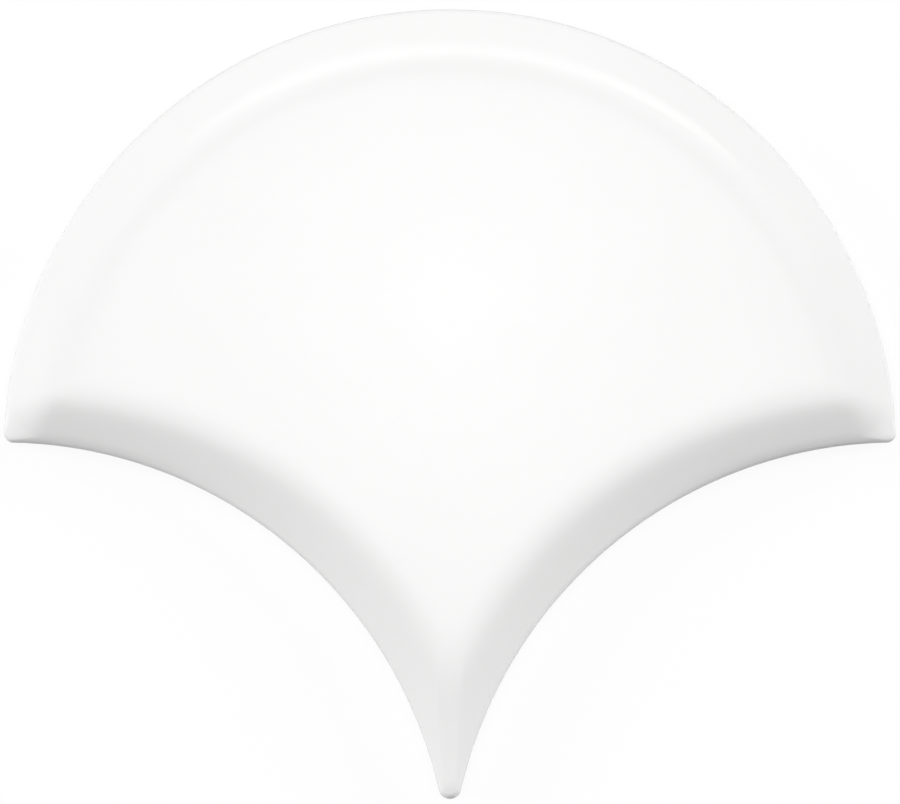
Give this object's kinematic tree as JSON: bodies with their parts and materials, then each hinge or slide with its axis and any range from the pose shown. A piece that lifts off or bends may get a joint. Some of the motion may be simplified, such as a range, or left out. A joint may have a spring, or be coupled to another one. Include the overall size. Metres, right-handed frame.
{
  "type": "fish scale tile",
  "caption": "Fan-shaped glazed ceramic wall tile with a round head, hollow flanks that nest the next course, a soft bevelled edge and a keyed flat back.",
  "frame": {"origin": "on the flat back, under the middle of the tile's bounding box, with the tile lying face up", "axes": "+X across the tile from shoulder to shoulder, +Y from the nose towards the round head, +Z out of the glazed face"},
  "size_m": [0.1198, 0.106, 0.009],
  "materials": {
    "glaze": "gloss"
  },
  "bodies": {
    "root": {"fish_scale_tile": "glaze"}
  },
  "joints": []
}
